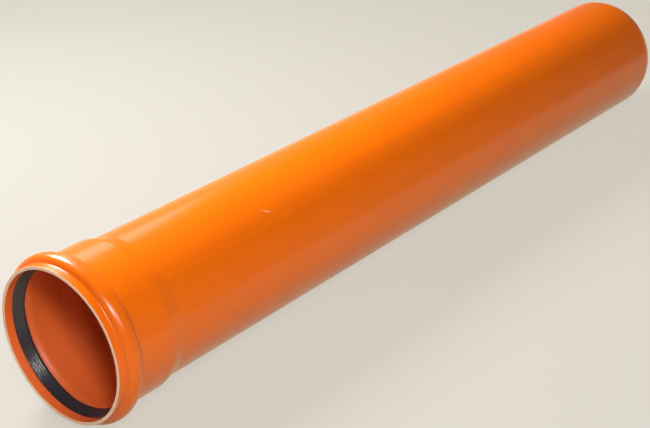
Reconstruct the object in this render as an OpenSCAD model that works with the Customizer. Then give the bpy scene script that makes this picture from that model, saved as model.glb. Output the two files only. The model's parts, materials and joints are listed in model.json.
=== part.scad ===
// Orange PVC-U sewer pipe with a formed push-fit socket, its rubber lip seal and a chamfered spigot.
// The pipe lies along X, with the socket's mouth at -X, the spigot at +X and Z up.
// The origin is on the axis, where the end of the next pipe's spigot is seated in the socket.

/* [Barrel] */
// Outside diameter of the barrel and spigot
pipe_d = 160; // [110:1:250]
// Wall of the barrel
pipe_wall = 4; // [3:0.1:7]
// Laying length, from the seated end of the next pipe to this pipe's spigot end
laying_length = 1000; // [250:10:6000]

/* [Spigot] */
// Angle between the chamfer and the axis
chamfer_angle = 15; // [10:1:30]
// Wall left at the spigot's end face
spigot_end_wall = 1.3; // [0.8:0.1:2.4]
// Rounding of the sawn edges at both ends
edge_round = 0.4; // [0.2:0.1:0.6]

/* [Socket] */
// Depth from the mouth face to the seated end of the next spigot
insertion_depth = 80; // [70:1:150]
// Length of the shoulder that the seated spigot's chamfer enters
chamfer_run_in = 6; // [2:0.5:10]
// Radial play of a spigot in the sleeve
sleeve_play = 0.3; // [0.1:0.05:0.6]
// Radial play of a spigot in the mouth lip
mouth_play = 1.1; // [0.6:0.1:2]
// Wall of the mouth lip and the sleeve
socket_wall = 3.6; // [2.6:0.1:6]
// Length of the shoulder between sleeve and barrel
shoulder_length = 18; // [14:1:40]
// Rounding at both ends of the shoulder
shoulder_round = 20; // [6:1:30]

/* [Bead] */
// Length of the mouth lip in front of the groove
lip_length = 10.7; // [7:0.1:14]
// Depth of the groove behind a spigot's surface
groove_depth = 8.4; // [7:0.1:11]
// Length of the groove's floor between its flanks
groove_floor = 8.3; // [7:0.1:14]
// Slope of the flank next to the mouth lip
front_flank = 70; // [50:1:75]
// Slope of the flank next to the sleeve
back_flank = 40; // [35:1:55]
// Wall over the groove
bead_wall = 3.2; // [2.4:0.1:6]
// Inside rounding of the groove's floor
groove_round = 5; // [2:0.5:6]
// Inside rounding of the edge between mouth lip and groove
lip_edge = 2; // [1:0.5:5]
// Outside rounding of the crease between mouth lip and bead
front_crease = 1.5; // [1:0.5:4]
// Outside rounding of the crease between bead and sleeve
back_crease = 8; // [2:0.5:12]

/* [Lip seal] */
// Play of the ring in its groove
ring_play = 0.2; // [0.1:0.05:0.4]
// Height of the ring's nose on the front flank, from the mouth lip
nose_rise = 2.3; // [1.5:0.1:3]
// Length of the lip along the pipe, from its nose to its tip
lip_reach = 9.1; // [7:0.1:13]
// How far the lip's tip stands inside a spigot's surface
lip_bite = 3.4; // [2:0.1:4]
// Length of the flat at the lip's tip
tip_flat = 1.6; // [1.2:0.1:2.5]
// Thickness of the lip at its root
lip_root = 5; // [3.5:0.1:6]
// Place of the root along the lip's face, from the nose
root_place = 6; // [5:0.1:8]
// Height of the ring's heel on the back flank, from the sleeve
heel_rise = 2.6; // [2:0.1:3.5]
// Length of the heel along the pipe
heel_length = 3.5; // [2.5:0.1:5]
// Rounding of the ring's free edges
ring_round = 0.6; // [0.3:0.1:1]

/* [Hidden] */

// Largest turn of one facet of a rounding, in degrees
arc_step = 9;
// Sides of a full turn
turn_sides = 180;

pipe_r = pipe_d / 2;
bore_r = pipe_r - pipe_wall;
sleeve_r = pipe_r + sleeve_play;
mouth_r = pipe_r + mouth_play;
groove_r = pipe_r + groove_depth;
lip_r = pipe_r - lip_bite;
total_length = insertion_depth + laying_length;
sleeve_end = insertion_depth - chamfer_run_in;
chamfer_length = (pipe_wall - spigot_end_wall) / tan(chamfer_angle);

// Points are [distance from the mouth face, radius].
// Inside line of the pipe, from the mouth to the spigot's end
lip_foot = [lip_length, mouth_r];
floor_front = lip_foot + (groove_r - mouth_r) * [1 / tan(front_flank), 1];
floor_back = floor_front + [groove_floor, 0];
groove_foot = floor_back + (groove_r - sleeve_r) * [1 / tan(back_flank), -1];
shoulder_top = [sleeve_end, sleeve_r];
shoulder_foot = [sleeve_end + shoulder_length, bore_r];
inside = [
    [0, mouth_r], lip_foot, floor_front, floor_back, groove_foot,
    shoulder_top, shoulder_foot, [total_length, bore_r]
];
// Wall over each stretch of the inside line
shoulder_wall = (socket_wall + pipe_wall) / 2;
walls = [socket_wall, bead_wall, bead_wall, bead_wall, socket_wall, shoulder_wall, pipe_wall];
// The wall keeps its thickness round a bend, so one side's rounding is larger by the wall
bead_round = groove_round + bead_wall;
groove_end_round = back_crease + bead_wall;
inside_rounds = [
    edge_round, lip_edge, groove_round, groove_round, groove_end_round,
    shoulder_round, shoulder_round, edge_round
];
outside_rounds = [
    edge_round, front_crease, bead_round, bead_round, back_crease,
    shoulder_round, shoulder_round
];

// Unit vector from a to b
function toward(a, b) = (b - a) / norm(b - a);

// Unit vector square to the way from a to b, pointing away from the axis on the way to the spigot
function square_to(a, b) = let (u = toward(a, b)) [-u.y, u.x];

// Point where the line through p along u meets the line through q along v
function meet(p, u, q, v) = p + u * cross(q - p, v) / cross(u, v);

// Point of radius r on the line through a and b
function at_radius(a, b, r) = a + (b - a) * (r - a.y) / (b.y - a.y);

// Line that keeps the distance gaps[i] from each stretch i of a bent line
function beside(line, gaps) =
    let (last = len(line) - 1)
    let (ways = [for (i = [0 : last - 1]) toward(line[i], line[i + 1])])
    let (starts = [for (i = [0 : last - 1]) line[i] + gaps[i] * square_to(line[i], line[i + 1])])
    [
        starts[0],
        for (i = [1 : last - 1]) meet(starts[i - 1], ways[i - 1], starts[i], ways[i]),
        starts[last - 1] + line[last] - line[last - 1]
    ];

// Middle corner of three, p[1], as an arc of radius r[1] that touches both of its sides.
// It shares each side with the corner at the other end in proportion to their radii
function corner(p, r) =
    let (u = toward(p[1], p[0]), v = toward(p[1], p[2]))
    let (half = acos(u * v) / 2, turn = 180 - 2 * half)
    let (room_back = norm(p[0] - p[1]) * r[1] / (r[0] + r[1]))
    let (room_ahead = norm(p[2] - p[1]) * r[1] / (r[1] + r[2]))
    let (reach = min(r[1] / tan(half), room_back, room_ahead))
    let (centre = p[1] + toward([0, 0], u + v) * reach / cos(half))
    let (from = p[1] + u * reach - centre, to = p[1] + v * reach - centre)
    let (steps = ceil(turn / arc_step))
    [for (i = [0 : steps]) let (a = turn * i / steps)
        centre + (from * sin(turn - a) + to * sin(a)) / sin(turn)];

// Item i of a list with its neighbours, where the list closes on itself
function trio(list, i) = let (n = len(list)) [list[(i + n - 1) % n], list[i], list[(i + 1) % n]];

// Closed outline with each corner rounded by its own radius
function rounded(points, rounds) =
    [for (i = [0 : len(points) - 1]) each corner(trio(points, i), trio(rounds, i))];

// Items of a list from last to first
function reversed(list) = [for (i = [len(list) - 1 : -1 : 0]) list[i]];

// Solid turned from an outline round the pipe's axis, with the mouth face at its place on X
module turned(outline) {
    translate([-insertion_depth, 0, 0])
        rotate([0, 90, 0])
            rotate_extrude($fn = turn_sides)
                polygon([for (p = outline) [p.y, p.x]]);
}

// Extruded pipe with its formed socket and chamfered spigot
module pipe() {
    outside = beside(inside, walls);
    to_barrel = [for (i = [0 : len(outside) - 2]) outside[i]];
    chamfer_start = [total_length - chamfer_length, pipe_r];
    chamfer_end = [total_length, bore_r + spigot_end_wall];
    points = concat(inside, [chamfer_end, chamfer_start], reversed(to_barrel));
    rounds = concat(inside_rounds, [edge_round, edge_round], reversed(outside_rounds));
    color("#dc6a1c") turned(rounded(points, rounds));
}

// Moulded lip seal, which fills the groove and leans its lip away from the mouth
module seal_ring() {
    seat = beside([lip_foot, floor_front, floor_back, groove_foot], [-ring_play, -ring_play, -ring_play]);
    nose = at_radius(seat[0], seat[1], mouth_r + nose_rise);
    heel = at_radius(seat[2], seat[3], sleeve_r + heel_rise);
    heel_front = heel - [heel_length, 0];
    tip_front = [nose.x + lip_reach, lip_r];
    tip_back = tip_front + [tip_flat, 0];
    root = nose + root_place * toward(nose, tip_front) + lip_root * square_to(nose, tip_front);
    points = [nose, seat[1], seat[2], heel, heel_front, root, tip_back, tip_front];
    rounds = [
        ring_round, groove_round, groove_round, ring_round,
        ring_round, ring_round, ring_round / 2, ring_round / 2
    ];
    color("#37343a") turned(rounded(points, rounds));
}

pipe();
seal_ring();
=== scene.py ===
"""Dresses a sewer pipe: turned plastic and rubber surfaces with their finishes, on a plain studio floor."""
import json
import math

import bpy
import numpy as np
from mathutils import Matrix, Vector


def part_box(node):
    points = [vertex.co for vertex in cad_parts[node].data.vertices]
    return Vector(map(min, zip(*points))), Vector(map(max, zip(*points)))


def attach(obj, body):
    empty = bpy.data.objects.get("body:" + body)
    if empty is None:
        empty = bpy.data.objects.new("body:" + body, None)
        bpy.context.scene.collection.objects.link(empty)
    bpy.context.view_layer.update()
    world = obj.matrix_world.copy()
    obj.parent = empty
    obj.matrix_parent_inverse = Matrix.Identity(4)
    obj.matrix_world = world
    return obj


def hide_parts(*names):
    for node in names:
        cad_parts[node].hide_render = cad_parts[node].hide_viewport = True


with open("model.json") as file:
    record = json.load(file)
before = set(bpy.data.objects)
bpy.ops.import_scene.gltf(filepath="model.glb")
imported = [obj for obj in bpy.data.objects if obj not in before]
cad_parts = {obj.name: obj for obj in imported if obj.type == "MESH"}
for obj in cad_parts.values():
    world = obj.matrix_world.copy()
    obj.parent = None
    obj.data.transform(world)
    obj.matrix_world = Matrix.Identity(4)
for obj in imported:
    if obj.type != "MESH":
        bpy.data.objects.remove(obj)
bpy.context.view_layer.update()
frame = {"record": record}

bl_info = {
    "name": "Sewer pipe",
    "version": (1, 0, 0),
    "blender": (4, 5, 0),
    "location": "3D View > Sidebar > Sewer pipe",
    "description": "Builds the surfaces, finishes and studio of a socketed sewer pipe with its lip seal",
    "category": "Add Mesh",
}

MM = 0.001
PIPE_LOW, PIPE_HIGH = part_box("pipe")
RADIUS = {m["name"]: m["dims"]["r_mm"] * MM for m in frame["record"]["mounts"]}

# Small marks on the outside. Each runs from one place to another, given as mm from the mouth and degrees up
# from the near side, then come its reach to either side in mm and its strength
SCRAPES = (
    ((252.8, 54.6), (257.5, 52.1), 1.8, 0.45),
    ((249.2, 56.8), (253.2, 54.4), 1.4, 0.25),
    ((259.1, 70.9), (259.7, 70.6), 1.3, 0.3),
    ((253.2, 99.3), (253.9, 99.0), 1.4, 0.35),
    ((339.5, -19.5), (340.2, -19.5), 1.2, 0.35),
    ((237.2, -22.7), (241.3, -14.8), 1.0, 0.25),
)
# Darker marks: a spot on the sleeve, and a painted shade beside the scrapes 250 mm from the mouth
DARK_SPOT_AND_SCRAPE_SHADE = (
    ((53.4, 58.5), (54.6, 57.9), 2.6, 0.2),
    ((247.6, 52.5), (252.4, 50.0), 2.2, 0.2),
)


def linear(hex_colour):
    """The linear colour of an sRGB hex value."""
    srgb = np.array([int(hex_colour[i:i + 2], 16) for i in (1, 3, 5)]) / 255
    return tuple(np.where(srgb <= 0.04045, srgb / 12.92, ((srgb + 0.055) / 1.055) ** 2.4))


def length(name, description, metres):
    """A property that holds a length."""
    return bpy.props.FloatProperty(
        name=name, description=description, default=metres, precision=4, unit="LENGTH", subtype="DISTANCE")


def angle(name, description, degrees):
    """A property that holds an angle."""
    return bpy.props.FloatProperty(
        name=name, description=description, default=math.radians(degrees), unit="ROTATION", subtype="ANGLE")


def colour(name, description, hex_colour):
    """A property that holds a colour, written as sRGB hex."""
    return bpy.props.FloatVectorProperty(
        name=name, description=description, default=linear(hex_colour), min=0, max=1, subtype="COLOR")


def place(name, description, point):
    """A property that holds a point, in metres."""
    return bpy.props.FloatVectorProperty(
        name=name, description=description, default=point, unit="LENGTH", subtype="TRANSLATION")


def factor(name, description, value):
    """A property that holds a plain number."""
    return bpy.props.FloatProperty(name=name, description=description, default=value, min=0)


class PipeSizes(bpy.types.PropertyGroup):
    """Sizes of the extruded pipe and of the socket formed at its end."""

    mouth: length("Mouth", "Place of the mouth face along the pipe", PIPE_LOW.x)
    end: length("Spigot end", "Place of the spigot's end face along the pipe", PIPE_HIGH.x)
    barrel_radius: length("Barrel radius", "Outside radius of barrel and spigot", RADIUS["spigot"])
    bore_radius: length("Bore radius", "Inside radius of the barrel", RADIUS["pipe_bore"])
    sleeve_radius: length("Sleeve radius", "Inside radius of the sleeve", RADIUS["socket"])
    mouth_radius: length("Mouth radius", "Inside radius of the mouth lip", RADIUS["socket_mouth"])
    bead_radius: length("Bead radius", "Outside radius of the bead", PIPE_HIGH.z)
    socket_wall: length("Socket wall", "Wall of mouth lip and sleeve", 3.6 * MM)
    bead_wall: length("Bead wall", "Wall over the groove", 3.2 * MM)
    lip_length: length("Lip length", "Length of the mouth lip in front of the groove", 10.7 * MM)
    groove_floor: length("Groove floor", "Length of the groove's floor", 8.3 * MM)
    front_flank: angle("Front flank", "Slope of the flank next to the mouth lip", 70)
    back_flank: angle("Back flank", "Slope of the flank next to the sleeve", 40)
    sleeve_end: length("Sleeve end", "Distance from the mouth face to the shoulder", 74 * MM)
    shoulder_length: length("Shoulder length", "Length of the shoulder between sleeve and barrel", 18 * MM)
    shoulder_round: length("Shoulder rounding", "Rounding at both ends of the shoulder", 20 * MM)
    groove_round: length("Groove rounding", "Inside rounding of the groove's floor", 5 * MM)
    front_crease: length("Front crease", "Outside rounding between mouth lip and bead", 1.5 * MM)
    back_crease: length("Back crease", "Outside rounding between bead and sleeve", 8 * MM)
    lip_edge: length("Lip edge", "Inside rounding between mouth lip and groove", 2 * MM)
    edge_round: length("Edge rounding", "Rounding of the sawn edges", 0.4 * MM)
    chamfer_angle: angle("Chamfer angle", "Angle between the spigot's chamfer and the axis", 15)
    spigot_end_wall: length("Spigot end wall", "Wall left at the spigot's end face", 1.3 * MM)


class SealSizes(bpy.types.PropertyGroup):
    """Sizes of the rubber lip seal in the bead's groove."""

    lip_radius: length("Lip radius", "Inside radius of the lip's tip", RADIUS["seal_lip"])
    ring_play: length("Ring play", "Play of the ring in its groove", 0.2 * MM)
    nose_rise: length("Nose rise", "Height of the nose on the front flank, from the mouth lip", 2.3 * MM)
    lip_reach: length("Lip reach", "Length of the lip along the pipe", 9.1 * MM)
    tip_flat: length("Tip flat", "Length of the flat at the lip's tip", 1.6 * MM)
    lip_root: length("Lip root", "Thickness of the lip at its root", 5 * MM)
    root_place: length("Root place", "Place of the root along the lip's face", 6 * MM)
    heel_rise: length("Heel rise", "Height of the heel on the back flank, from the sleeve", 2.6 * MM)
    heel_length: length("Heel length", "Length of the heel along the pipe", 3.5 * MM)
    ring_round: length("Ring rounding", "Rounding of the ring's free edges", 0.6 * MM)


class Finishes(bpy.types.PropertyGroup):
    """Colours of the plastic and the rubber."""

    orange: colour("Orange", "Extruded plastic in plain light", "#E96904")
    orange_deep: colour("Deep orange", "Darker streaks of the extruded plastic", "#DD5F04")
    inside: colour("Inside", "Duller inside of the extruded plastic", "#F06F30")
    scuff: colour("Scuff", "Plastic whitened by a scrape", "#F6BE92")
    # Colour of the darker spot and of the painted shade beside a scrape
    dark_spot_and_shade: colour("Stain", "Darker spots and the shade beside a scrape", "#B83A06")
    sawn: colour("Sawn face", "Sawn end face of the plastic", "#FFD3AE")
    rubber: colour("Rubber", "Moulded rubber of the seal", "#332F35")


class StudioSettings(bpy.types.PropertyGroup):
    """Camera, floor and lamps."""

    camera_place: place("Camera place", "Where the camera stands", (-0.8022, -0.9184, 0.7138))
    camera_azimuth: angle("Camera azimuth", "Turn of the view from +Y towards -X", -51.0)
    camera_elevation: angle("Camera elevation", "Slope of the view below the horizon", 26.54)
    lens: bpy.props.FloatProperty(
        name="Lens", description="Focal length for a 36 mm sensor", default=76.11, subtype="DISTANCE_CAMERA")
    floor_size: length("Floor size", "Side of the square floor", 24.0)
    floor: colour("Floor", "Pale matt floor", "#9C9A97")
    surround: colour("Surround", "Pale surround above the horizon", "#EBE4D6")
    low_surround: factor("Low surround", "Light from the surround near the horizon", 0.24)
    high_surround: factor("High surround", "Light from the surround overhead", 0.05)
    haze: factor("Floor haze", "How far the floor that the camera sees is lifted to the surround", 0.7)
    # Painted reflection of the floor in the pipe: its share, its pale and dark colours, and where it turns
    # from one to the other
    painted_mirror_share: factor("Mirror haze", "How far the floor that the pipe mirrors is lifted", 0.9)
    painted_mirror_pale: colour("Mirrored floor", "Floor that the pipe mirrors", "#E6DABA")
    painted_mirror_dark: colour("Mirrored far floor", "The same farther off in front", "#7C7A78")
    painted_mirror_near: length("Pale mirror", "How far in front of the pipe's axis the mirrored floor is pale", 0.42)
    painted_mirror_far: length("Dark mirror", "How far in front of the pipe's axis it is dark", 0.7)
    key_place: place("Key lamp place", "Where the long lamp behind the pipe is", (0.22, 0.88, 0.92))
    key_length: length("Key lamp length", "Length of the long lamp", 0.5)
    key_height: length("Key lamp height", "Height of the long lamp", 0.5)
    key_power: factor("Key lamp power", "Power of the long lamp, in watts", 39.0)
    front_place: place(
        "Front lamp place", "Where the large lamp above and in front of the pipe is", (-0.15, -1.7, 1.35))
    front_size: length("Front lamp size", "Side of the large lamp in front", 0.9)
    front_power: factor("Front lamp power", "Power of the large lamp in front, in watts", 15.0)
    fill_place: place("Fill lamp place", "Where the lamp above the camera is", (-0.89, -1.23, 1.34))
    fill_width: length("Fill lamp width", "Width of the lamp above the camera", 0.3)
    fill_height: length("Fill lamp height", "Height of the lamp above the camera", 0.4)
    fill_power: factor("Fill lamp power", "Power of the lamp above the camera, in watts", 22.0)
    strip_place: place(
        "Strip lamp place", "Where the narrow upright lamp left of the camera is", (-0.92, -0.58, 0.78))
    strip_width: length("Strip lamp width", "Width of the narrow lamp", 0.04)
    strip_height: length("Strip lamp height", "Height of the narrow lamp", 0.5)
    strip_power: factor("Strip lamp power", "Power of the narrow lamp, in watts", 0.9)
    rim_place: place("Rim lamp place", "Where the weak lamp beyond the pipe is", (0.7, 0.9, 0.69))
    rim_size: length("Rim lamp size", "Side of the weak lamp beyond the pipe", 0.4)
    rim_power: factor("Rim lamp power", "Power of the weak lamp beyond the pipe, in watts", 1.0)


class SewerPipeSettings(bpy.types.PropertyGroup):
    """All that a user would change."""

    pipe: bpy.props.PointerProperty(type=PipeSizes)
    seal: bpy.props.PointerProperty(type=SealSizes)
    finish: bpy.props.PointerProperty(type=Finishes)
    studio: bpy.props.PointerProperty(type=StudioSettings)


# Outlines, in the plane of the axis: a point is (place along the pipe, radius)

# Largest turn of one facet of a rounding, longest facet of a straight, and facets of a full turn
ARC_STEP = math.radians(4)
STRAIGHT_STEP = 40 * MM
SIDES = 320


def toward(a, b):
    """Unit vector from a to b."""
    return (b - a) / np.linalg.norm(b - a)


def square_to(a, b):
    """Unit vector square to the way from a to b, to its left."""
    way = toward(a, b)
    return np.array([-way[1], way[0]])


def cross(u, v):
    """Area of the parallelogram of u and v."""
    return u[0] * v[1] - u[1] * v[0]


def beside(line, gaps):
    """The bent line that keeps the distance gaps[i] from each stretch i of a bent line.

    Each stretch is moved square to itself, and each inner corner is where two moved stretches meet.
    """
    ways = [toward(a, b) for a, b in zip(line, line[1:])]
    starts = [a + gap * square_to(a, b) for a, b, gap in zip(line, line[1:], gaps)]
    corners = [
        p + u * cross(q - p, v) / cross(u, v)
        for p, u, q, v in zip(starts, ways, starts[1:], ways[1:])
    ]
    return [starts[0], *corners, starts[-1] + line[-1] - line[-2]]


def at_radius(a, b, radius):
    """The point of that radius on the line through a and b."""
    return a + (b - a) * (radius - a[1]) / (b[1] - a[1])


def corner_arc(corners, radii):
    """The middle one of three corners as an arc that touches both of its sides.

    It shares each side with the corner at its other end in proportion to their radii. A point of the arc is
    the centre plus the two end spokes, each weighted by the sine of the angle to the other one.
    """
    before, at, after = corners
    back, ahead = toward(at, before), toward(at, after)
    half = math.acos(np.clip(back @ ahead, -1, 1)) / 2
    turn = math.pi - 2 * half
    room = min(np.linalg.norm(before - at) * radii[1] / (radii[0] + radii[1]),
               np.linalg.norm(after - at) * radii[1] / (radii[1] + radii[2]))
    reach = min(radii[1] / math.tan(half), room)
    centre = at + toward(np.zeros(2), back + ahead) * reach / math.cos(half)
    first, last = at + back * reach - centre, at + ahead * reach - centre
    turned = np.linspace(0, turn, math.ceil(turn / ARC_STEP) + 1)[:, None]
    return centre + (first * np.sin(turn - turned) + last * np.sin(turned)) / math.sin(turn)


def rounded_outline(corners, radii):
    """The closed outline with each corner rounded by its radius and long straights cut into short ones."""
    around = [(i - 1, i, (i + 1) % len(corners)) for i in range(len(corners))]
    arcs = [corner_arc([corners[i] for i in trio], [radii[i] for i in trio]) for trio in around]
    stretches = []
    for arc, following in zip(arcs, arcs[1:] + arcs[:1]):
        steps = math.ceil(np.linalg.norm(following[0] - arc[-1]) / STRAIGHT_STEP)
        share = np.arange(1, steps)[:, None] / max(steps, 1)
        stretches += [arc, arc[-1] + share * (following[0] - arc[-1])]
    return np.concatenate(stretches)


def groove_line(sizes):
    """Inside line of the groove: the foot of the mouth lip, both ends of the floor, the sleeve's start."""
    floor_radius = sizes.bead_radius - sizes.bead_wall
    lip_foot = np.array([sizes.mouth + sizes.lip_length, sizes.mouth_radius])
    front = lip_foot + (floor_radius - sizes.mouth_radius) * np.array([1 / math.tan(sizes.front_flank), 1])
    back = front + np.array([sizes.groove_floor, 0])
    foot = back + (floor_radius - sizes.sleeve_radius) * np.array([1 / math.tan(sizes.back_flank), -1])
    return [lip_foot, front, back, foot]


def pipe_outline(sizes):
    """Section of the pipe's wall, from the mouth along the inside to the spigot and back along the outside.

    The outside keeps the wall's thickness from the inside, stretch by stretch, and the spigot is chamfered.
    """
    barrel_wall = sizes.barrel_radius - sizes.bore_radius
    shoulder = sizes.mouth + sizes.sleeve_end
    inside = [
        np.array([sizes.mouth, sizes.mouth_radius]),
        *groove_line(sizes),
        np.array([shoulder, sizes.sleeve_radius]),
        np.array([shoulder + sizes.shoulder_length, sizes.bore_radius]),
        np.array([sizes.end, sizes.bore_radius]),
    ]
    walls = [sizes.socket_wall, *[sizes.bead_wall] * 3, sizes.socket_wall,
             (sizes.socket_wall + barrel_wall) / 2, barrel_wall]
    outside = beside(inside, walls)[:-1]
    chamfer_length = (barrel_wall - sizes.spigot_end_wall) / math.tan(sizes.chamfer_angle)
    chamfer = [
        np.array([sizes.end, sizes.bore_radius + sizes.spigot_end_wall]),
        np.array([sizes.end - chamfer_length, sizes.barrel_radius]),
    ]
    edge, groove, shoulder_round = sizes.edge_round, sizes.groove_round, sizes.shoulder_round
    front, back, wall = sizes.front_crease, sizes.back_crease, sizes.bead_wall
    inside_radii = [edge, sizes.lip_edge, groove, groove, back + wall, shoulder_round, shoulder_round, edge]
    outside_radii = [edge, front, groove + wall, groove + wall, back, shoulder_round, shoulder_round]
    corners = inside + chamfer + outside[::-1]
    return rounded_outline(corners, inside_radii + [edge, edge] + outside_radii[::-1])


def seal_outline(pipe, seal):
    """Section of the lip seal: a back that follows the groove, and a lip that leans away from the mouth."""
    seat = beside(groove_line(pipe), [-seal.ring_play] * 3)
    nose = at_radius(seat[0], seat[1], pipe.mouth_radius + seal.nose_rise)
    heel = at_radius(seat[2], seat[3], pipe.sleeve_radius + seal.heel_rise)
    heel_front = heel - np.array([seal.heel_length, 0])
    tip_front = np.array([nose[0] + seal.lip_reach, seal.lip_radius])
    tip_back = tip_front + np.array([seal.tip_flat, 0])
    root = nose + seal.root_place * toward(nose, tip_front) + seal.lip_root * square_to(nose, tip_front)
    edge, floor = seal.ring_round, pipe.groove_round
    corners = [nose, seat[1], seat[2], heel, heel_front, root, tip_back, tip_front]
    return rounded_outline(corners, [edge, floor, floor, edge, edge, edge, edge / 2, edge / 2])


def steps_along(outline):
    """Distance from each point of a closed outline to the next one."""
    return np.linalg.norm(np.diff(outline, axis=0, append=outline[:1]), axis=1)


def turned_piece(name, outline):
    """The closed surface that an outline sweeps in one turn about the pipe's axis.

    Point (i, j) is outline point i turned by angle j: its place along X stays, and its radius becomes
    (-cos, sin) of the angle in Y and Z. Each face joins two neighbours along the outline to two round the
    turn. The UV map holds the turn and the way along the outline, both as shares.
    """
    rows = len(outline)
    turn = np.arange(SIDES) * 2 * math.pi / SIDES
    along, radius = outline[:, :1], outline[:, 1:]
    points = np.stack([
        np.broadcast_to(along, (rows, SIDES)), -radius * np.cos(turn), radius * np.sin(turn)], axis=-1)
    row, side = np.meshgrid(np.arange(rows), np.arange(SIDES), indexing="ij")
    next_row, next_side = (row + 1) % rows, (side + 1) % SIDES
    faces = np.stack([
        row * SIDES + side, row * SIDES + next_side,
        next_row * SIDES + next_side, next_row * SIDES + side], axis=-1).reshape(-1, 4)
    way = steps_along(outline)
    ends = np.concatenate([[0], np.cumsum(way)]) / way.sum()
    u = np.stack([side, side + 1, side + 1, side], axis=-1) / SIDES
    v = np.stack([ends[row], ends[row], ends[row + 1], ends[row + 1]], axis=-1)

    mesh = bpy.data.meshes.new(name)
    mesh.vertices.add(rows * SIDES)
    mesh.vertices.foreach_set("co", points.ravel())
    mesh.loops.add(faces.size)
    mesh.loops.foreach_set("vertex_index", faces.ravel())
    mesh.polygons.add(len(faces))
    mesh.polygons.foreach_set("loop_start", np.arange(0, faces.size, 4))
    mesh.uv_layers.new(name="UVMap").uv.foreach_set("vector", np.stack([u, v], axis=-1).ravel())
    mesh.update(calc_edges=True)
    mesh.validate()
    mesh.shade_smooth()
    piece = bpy.data.objects.new(name, mesh)
    bpy.context.scene.collection.objects.link(piece)
    return piece


# Materials

# Refractive indices. The skin's is set a little below bare PVC's, for the photo's weaker reflections
SKIN_IOR = 1.49
PVC_IOR = 1.53
RUBBER_IOR = 1.52

# Places of the pipe's three finishes in its list of materials
OUTSIDE, INSIDE, SAWN = range(3)


def add(tree, kind, gives=None, sockets=None, **settings):
    """Adds a node with its settings, puts a value or a link on each named socket and returns an output."""
    node = tree.nodes.new(kind)
    for name, value in settings.items():
        setattr(node, name, value)
    inputs = {socket.identifier: socket for socket in node.inputs}
    for name, value in (sockets or {}).items():
        if isinstance(value, bpy.types.NodeSocket):
            tree.links.new(value, inputs[name])
        else:
            inputs[name].default_value = value
    return next((socket for socket in node.outputs if socket.identifier == gives), node)


def new_material(name):
    """An empty material and its node tree."""
    material = bpy.data.materials.new(name)
    material.use_nodes = True
    material.node_tree.nodes.clear()
    return material, material.node_tree


def solid(value):
    """A colour with full alpha, as a socket wants it."""
    return (*value, 1)


def on_outside(sizes, along_mm, degrees):
    """Point on the sleeve or the barrel, so far from the mouth and so far up round from the near side."""
    along, turn = along_mm * MM, math.radians(degrees)
    on_sleeve = along < sizes.sleeve_end
    radius = sizes.sleeve_radius + sizes.socket_wall if on_sleeve else sizes.barrel_radius
    return Vector((sizes.mouth + along, -radius * math.cos(turn), radius * math.sin(turn)))


def line_mask(tree, spot, start, end, reach):
    """A mask that is one on the line from start to end and fades to nothing at the given reach beside it."""
    way = end - start
    offset = add(tree, "ShaderNodeVectorMath", "Vector", {
        "Vector": spot, "Vector_001": start}, operation="SUBTRACT")
    share = add(tree, "ShaderNodeVectorMath", "Value", {
        "Vector": offset, "Vector_001": way / way.length_squared}, operation="DOT_PRODUCT")
    held = add(tree, "ShaderNodeClamp", "Result", {"Value": share})
    nearest = add(tree, "ShaderNodeVectorMath", "Vector", {"Vector": way, "Scale": held}, operation="SCALE")
    gap = add(tree, "ShaderNodeVectorMath", "Value", {
        "Vector": offset, "Vector_001": nearest}, operation="DISTANCE")
    return add(tree, "ShaderNodeMapRange", "Result", {
        "Value": gap, "From Min": 0, "From Max": reach, "To Min": 1, "To Max": 0},
        interpolation_type="SMOOTHSTEP")


def rubbed(tree, spot, sizes, marks):
    """How strongly any of the marks shows at a spot."""
    most = 0
    for start, end, reach, strength in marks:
        mask = line_mask(tree, spot, on_outside(sizes, *start), on_outside(sizes, *end), reach * MM)
        shown = add(tree, "ShaderNodeMath", "Value", {
            "Value": mask, "Value_001": strength}, operation="MULTIPLY")
        most = add(tree, "ShaderNodeMath", "Value", {
            "Value": shown, "Value_001": most}, operation="MAXIMUM")
    return most


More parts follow.
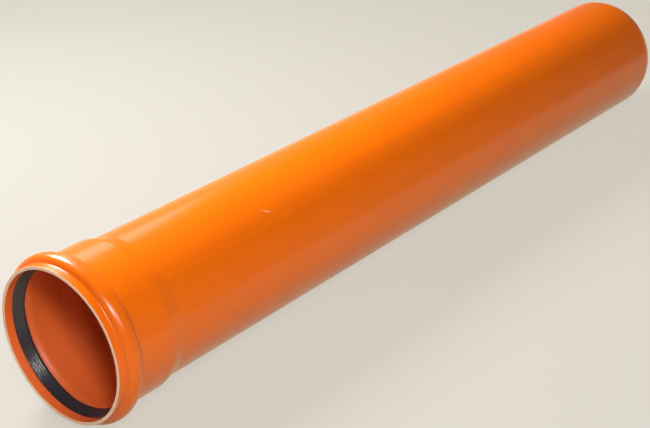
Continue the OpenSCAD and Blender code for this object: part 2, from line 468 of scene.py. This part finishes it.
def extruded_pvc(finish, sizes):
    """PVC-U drawn through a die: a smooth satin skin, whose broad reflections waver a little.

    The die leaves faint lines along the pipe, and storage leaves dull patches and a few scrapes. A darker
    spot sits on the sleeve, and painted shade runs beside one scrape.
    """
    material, tree = new_material("extruded_orange_pvc")
    spot = add(tree, "ShaderNodeTexCoord", "Object")
    # Die lines are 5 mm apart and fifty times as long, dull clouds are 70 mm across and the dimples 6 mm
    along = add(tree, "ShaderNodeMapping", "Vector", {"Vector": spot, "Scale": (0.02, 1, 1)})
    die_lines = add(tree, "ShaderNodeTexNoise", "Fac", {"Vector": along, "Scale": 1 / (5 * MM), "Detail": 3})
    clouds = add(tree, "ShaderNodeTexNoise", "Fac", {"Vector": spot, "Scale": 1 / (70 * MM), "Detail": 3})
    streaks = add(tree, "ShaderNodeMath", "Value", {
        "Value": die_lines, "Value_001": clouds}, operation="MULTIPLY")
    tint = add(tree, "ShaderNodeMapRange", "Result", {
        "Value": streaks, "From Min": 0.15, "From Max": 0.4, "To Min": 0, "To Max": 0.35})
    skin = add(tree, "ShaderNodeMix", "Result_Color", {
        "Factor_Float": tint, "A_Color": solid(finish.orange), "B_Color": solid(finish.orange_deep)},
        data_type="RGBA")
    scrapes = rubbed(tree, spot, sizes, SCRAPES)
    skin = add(tree, "ShaderNodeMix", "Result_Color", {
        "Factor_Float": scrapes, "A_Color": skin, "B_Color": solid(finish.scuff)}, data_type="RGBA")
    # Darkens the spot on the sleeve and paints the shade beside a scrape
    spot_and_scrape_shade = rubbed(tree, spot, sizes, DARK_SPOT_AND_SCRAPE_SHADE)
    skin = add(tree, "ShaderNodeMix", "Result_Color", {
        "Factor_Float": spot_and_scrape_shade, "A_Color": skin, "B_Color": solid(finish.dark_spot_and_shade)}, data_type="RGBA")
    gloss = add(tree, "ShaderNodeMapRange", "Result", {
        "Value": clouds, "From Min": 0.3, "From Max": 0.7, "To Min": 0.225, "To Max": 0.265})
    peel = add(tree, "ShaderNodeTexNoise", "Fac", {"Vector": spot, "Scale": 1 / (6 * MM), "Detail": 2})
    relief = add(tree, "ShaderNodeMath", "Value", {"Value": die_lines, "Value_001": peel}, operation="ADD")
    bump = add(tree, "ShaderNodeBump", "Normal", {"Height": relief, "Strength": 0.35, "Distance": 0.02 * MM})
    shader = add(tree, "ShaderNodeBsdfPrincipled", "BSDF", {
        "Base Color": skin, "Roughness": gloss, "IOR": SKIN_IOR, "Normal": bump})
    add(tree, "ShaderNodeOutputMaterial", sockets={"Surface": shader})
    return material


def dull_pvc(finish):
    """The inside of the pipe, which cools without touching the sizing sleeve: duller than the outside."""
    material, tree = new_material("dull_inside_pvc")
    spot = add(tree, "ShaderNodeTexCoord", "Object")
    # Flow lines are 4 mm apart and twenty times as long
    along = add(tree, "ShaderNodeMapping", "Vector", {"Vector": spot, "Scale": (0.05, 1, 1)})
    lines = add(tree, "ShaderNodeTexNoise", "Fac", {"Vector": along, "Scale": 1 / (4 * MM), "Detail": 3})
    bump = add(tree, "ShaderNodeBump", "Normal", {"Height": lines, "Strength": 0.4, "Distance": 0.03 * MM})
    shader = add(tree, "ShaderNodeBsdfPrincipled", "BSDF", {
        "Base Color": solid(finish.inside), "Roughness": 0.45, "IOR": PVC_IOR, "Normal": bump})
    add(tree, "ShaderNodeOutputMaterial", sockets={"Surface": shader})
    return material


def sawn_pvc(finish):
    """The sawn end of the wall: matt and pale, because the cut leaves fine torn ridges."""
    material, tree = new_material("sawn_pvc_face")
    spot = add(tree, "ShaderNodeTexCoord", "Object")
    # Saw marks are 1.2 mm apart and twelve times as long
    ridges = add(tree, "ShaderNodeMapping", "Vector", {"Vector": spot, "Scale": (1, 1, 0.08)})
    marks = add(tree, "ShaderNodeTexNoise", "Fac", {"Vector": ridges, "Scale": 1 / (1.2 * MM), "Detail": 2})
    bump = add(tree, "ShaderNodeBump", "Normal", {"Height": marks, "Strength": 0.5, "Distance": 0.05 * MM})
    shader = add(tree, "ShaderNodeBsdfPrincipled", "BSDF", {
        "Base Color": solid(finish.sawn), "Roughness": 0.6, "IOR": PVC_IOR, "Normal": bump})
    add(tree, "ShaderNodeOutputMaterial", sockets={"Surface": shader})
    return material


def moulded_rubber(finish, ring_length, section_length):
    """Moulded seal rubber: near black with a satin sheen, finely ridged round the ring by its mould."""
    material, tree = new_material("moulded_seal_rubber")
    spot = add(tree, "ShaderNodeTexCoord", "UV")
    # The ridges are drawn 8 mm long and 1.2 mm apart, coarser than real ones, so that they show
    around = add(tree, "ShaderNodeMapping", "Vector", {
        "Vector": spot, "Scale": (ring_length / (8 * MM), section_length / (1.2 * MM), 1)})
    ridges = add(tree, "ShaderNodeTexNoise", "Fac", {"Vector": around, "Scale": 1, "Detail": 2})
    bump = add(tree, "ShaderNodeBump", "Normal", {"Height": ridges, "Strength": 1, "Distance": 0.45 * MM})
    shader = add(tree, "ShaderNodeBsdfPrincipled", "BSDF", {
        "Base Color": solid(finish.rubber), "Roughness": 0.28, "IOR": RUBBER_IOR, "Normal": bump})
    add(tree, "ShaderNodeOutputMaterial", sockets={"Surface": shader})
    return material


def pale_floor(studio):
    """Matt grey studio floor that bounces light up under the pipe; to the camera a haze makes it pale.

    Its reflections in the pipe are painted: to glossy rays the floor glows pale close by and dark farther off
    in front.
    """
    material, tree = new_material("pale_studio_floor")
    matt = add(tree, "ShaderNodeBsdfPrincipled", "BSDF", {
        "Base Color": solid(studio.floor), "Roughness": 0.8, "Specular IOR Level": 0.2})
    spot = add(tree, "ShaderNodeTexCoord", "Object")
    side = add(tree, "ShaderNodeSeparateXYZ", "Y", {"Vector": spot})
    far = add(tree, "ShaderNodeMapRange", "Result", {
        "Value": side, "From Min": -studio.painted_mirror_near, "From Max": -studio.painted_mirror_far},
        interpolation_type="SMOOTHSTEP")
    # Painted reflection: the glow that the pipe mirrors, pale near its axis and dark farther off in front
    painted_reflection = add(tree, "ShaderNodeMix", "Result_Color", {
        "Factor_Float": far, "A_Color": solid(studio.painted_mirror_pale), "B_Color": solid(studio.painted_mirror_dark)},
        data_type="RGBA")
    path = add(tree, "ShaderNodeLightPath")
    to_camera, to_mirror = path.outputs["Is Camera Ray"], path.outputs["Is Glossy Ray"]
    shown = add(tree, "ShaderNodeMix", "Result_Color", {
        "Factor_Float": to_mirror, "A_Color": solid(studio.surround), "B_Color": painted_reflection}, data_type="RGBA")
    pale = add(tree, "ShaderNodeEmission", "Emission", {"Color": shown})
    camera_haze = add(tree, "ShaderNodeMath", "Value", {
        "Value": to_camera, "Value_001": studio.haze}, operation="MULTIPLY")
    # Glossy rays see mostly the painted reflection's glow, and the camera sees the pale haze
    haze = add(tree, "ShaderNodeMath", "Value", {
        "Value": to_mirror, "Value_001": studio.painted_mirror_share, "Value_002": camera_haze},
        operation="MULTIPLY_ADD")
    shader = add(tree, "ShaderNodeMixShader", "Shader", {"Fac": haze, "Shader": matt, "Shader_001": pale})
    add(tree, "ShaderNodeOutputMaterial", sockets={"Surface": shader})
    return material


# Operators

# Where every lamp points, width of the camera's sensor in mm, and how far the camera sees in metres
LAMP_AIM = Vector((0.1, 0, 0))
SENSOR_WIDTH = 36
CLIP_END = 100
# Upward share of a direction at which the surround's low light starts to fade, and at which the fade ends
LOW_RISE = 0.1
HIGH_RISE = 0.5


class SEWERPIPE_OT_pipe(bpy.types.Operator):
    """Build the pipe with its formed socket and chamfered spigot"""

    bl_idname = "sewerpipe.pipe"
    bl_label = "Build pipe"

    def execute(self, context):
        settings = context.scene.sewer_pipe
        sizes = settings.pipe
        outline = pipe_outline(sizes)
        piece = turned_piece("pipe_surface", outline)
        piece.data.materials.append(extruded_pvc(settings.finish, sizes))
        piece.data.materials.append(dull_pvc(settings.finish))
        piece.data.materials.append(sawn_pvc(settings.finish))
        following = np.roll(outline, -1, axis=0)
        inside = np.arange(len(outline)) < np.argmax(outline[:, 0])
        sawn = np.maximum(outline[:, 0], following[:, 0]) < sizes.mouth + sizes.edge_round / 2
        kinds = np.where(sawn, SAWN, np.where(inside, INSIDE, OUTSIDE))
        piece.data.polygons.foreach_set("material_index", np.repeat(kinds, SIDES).astype(np.int32))
        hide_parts("pipe")
        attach(piece, "root")
        return {"FINISHED"}


class SEWERPIPE_OT_seal_ring(bpy.types.Operator):
    """Build the rubber lip seal in the bead's groove"""

    bl_idname = "sewerpipe.seal_ring"
    bl_label = "Build seal ring"

    def execute(self, context):
        settings = context.scene.sewer_pipe
        outline = seal_outline(settings.pipe, settings.seal)
        piece = turned_piece("seal_ring_surface", outline)
        ring_length = 2 * math.pi * settings.seal.lip_radius
        rubber = moulded_rubber(settings.finish, ring_length, steps_along(outline).sum())
        piece.data.materials.append(rubber)
        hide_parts("seal_ring")
        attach(piece, "root")
        return {"FINISHED"}


def lay_floor(sizes, studio):
    """A square sheet that touches the bead and the spigot from below.

    Its height is a straight line along the pipe through the lowest points of the two.
    """
    bead_place = sizes.mouth + sizes.lip_length + sizes.groove_floor
    slope = (sizes.bead_radius - sizes.barrel_radius) / (sizes.end - bead_place)
    half = studio.floor_size / 2
    x, y = np.meshgrid([-half, half], [-half, half])
    z = -sizes.bead_radius + slope * (x - bead_place)
    mesh = bpy.data.meshes.new("floor")
    mesh.from_pydata(np.stack([x, y, z], axis=-1).reshape(-1, 3).tolist(), [], [(0, 1, 3, 2)])
    mesh.materials.append(pale_floor(studio))
    floor = bpy.data.objects.new("floor", mesh)
    bpy.context.scene.collection.objects.link(floor)


def hang_lamp(name, spot, width, height, power):
    """A soft lamp that faces the socket's end of the pipe."""
    lamp = bpy.data.lights.new(name, "AREA")
    lamp.shape = "RECTANGLE"
    lamp.size = width
    lamp.size_y = height
    lamp.energy = power
    holder = bpy.data.objects.new(name, lamp)
    holder.location = spot
    holder.rotation_euler = (LAMP_AIM - Vector(spot)).to_track_quat("-Z", "Y").to_euler()
    holder.visible_camera = False
    bpy.context.scene.collection.objects.link(holder)


def set_surround(studio):
    """A pale surround, seen in its own colour, that lights the pipe faintly and mostly from low down."""
    world = bpy.data.worlds.new("surround")
    world.use_nodes = True
    tree = world.node_tree
    tree.nodes.clear()
    way = add(tree, "ShaderNodeTexCoord", "Object")
    rise = add(tree, "ShaderNodeSeparateXYZ", "Z", {"Vector": way})
    light = add(tree, "ShaderNodeMapRange", "Result", {
        "Value": rise, "From Min": LOW_RISE, "From Max": HIGH_RISE, "To Min": studio.low_surround,
        "To Max": studio.high_surround}, interpolation_type="SMOOTHSTEP")
    seen = add(tree, "ShaderNodeLightPath", "Is Camera Ray")
    strength = add(tree, "ShaderNodeMapRange", "Result", {"Value": seen, "To Min": light, "To Max": 1})
    shader = add(tree, "ShaderNodeBackground", "Background", {
        "Color": solid(studio.surround), "Strength": strength})
    add(tree, "ShaderNodeOutputWorld", sockets={"Surface": shader})
    bpy.context.scene.world = world


def set_camera(studio):
    """The camera at the photograph's viewing angle."""
    camera = bpy.data.cameras.new("camera")
    camera.lens = studio.lens
    camera.sensor_width = SENSOR_WIDTH
    camera.clip_end = CLIP_END
    holder = bpy.data.objects.new("camera", camera)
    holder.location = studio.camera_place
    holder.rotation_euler = (math.pi / 2 - studio.camera_elevation, 0, studio.camera_azimuth)
    bpy.context.scene.collection.objects.link(holder)
    bpy.context.scene.camera = holder


class SEWERPIPE_OT_studio(bpy.types.Operator):
    """Build the floor, lamps, surround and camera"""

    bl_idname = "sewerpipe.studio"
    bl_label = "Build studio"

    def execute(self, context):
        settings = context.scene.sewer_pipe
        studio = settings.studio
        lay_floor(settings.pipe, studio)
        hang_lamp("key_lamp", studio.key_place, studio.key_length, studio.key_height, studio.key_power)
        hang_lamp("front_lamp", studio.front_place, studio.front_size, studio.front_size, studio.front_power)
        hang_lamp("fill_lamp", studio.fill_place, studio.fill_width, studio.fill_height, studio.fill_power)
        hang_lamp(
            "strip_lamp", studio.strip_place, studio.strip_width, studio.strip_height, studio.strip_power)
        hang_lamp("rim_lamp", studio.rim_place, studio.rim_size, studio.rim_size, studio.rim_power)
        set_surround(studio)
        set_camera(studio)
        context.scene.view_settings.view_transform = "Standard"
        return {"FINISHED"}


class SEWERPIPE_PT_panel(bpy.types.Panel):
    """Lists the pieces of the pipe"""

    bl_idname = "SEWERPIPE_PT_panel"
    bl_label = "Sewer pipe"
    bl_space_type = "VIEW_3D"
    bl_region_type = "UI"
    bl_category = "Sewer pipe"

    def draw(self, context):
        for operator in OPERATORS:
            self.layout.operator(operator.bl_idname)
        settings = context.scene.sewer_pipe
        for group in (settings.pipe, settings.seal, settings.finish, settings.studio):
            box = self.layout.box()
            for name in group.__annotations__:
                box.prop(group, name)


GROUPS = (PipeSizes, SealSizes, Finishes, StudioSettings, SewerPipeSettings)
OPERATORS = (SEWERPIPE_OT_pipe, SEWERPIPE_OT_seal_ring, SEWERPIPE_OT_studio)
CLASSES = (*GROUPS, *OPERATORS, SEWERPIPE_PT_panel)


def register():
    """Makes the settings, the operators and the panel known."""
    for item in CLASSES:
        bpy.utils.register_class(item)
    bpy.types.Scene.sewer_pipe = bpy.props.PointerProperty(type=SewerPipeSettings)


def unregister():
    """Takes them away again."""
    del bpy.types.Scene.sewer_pipe
    for item in reversed(CLASSES):
        bpy.utils.unregister_class(item)


def main():
    """Builds the dressed pipe."""
    register()
    bpy.ops.sewerpipe.pipe()
    bpy.ops.sewerpipe.seal_ring()
    bpy.ops.sewerpipe.studio()


if __name__ == "__main__":
    main()
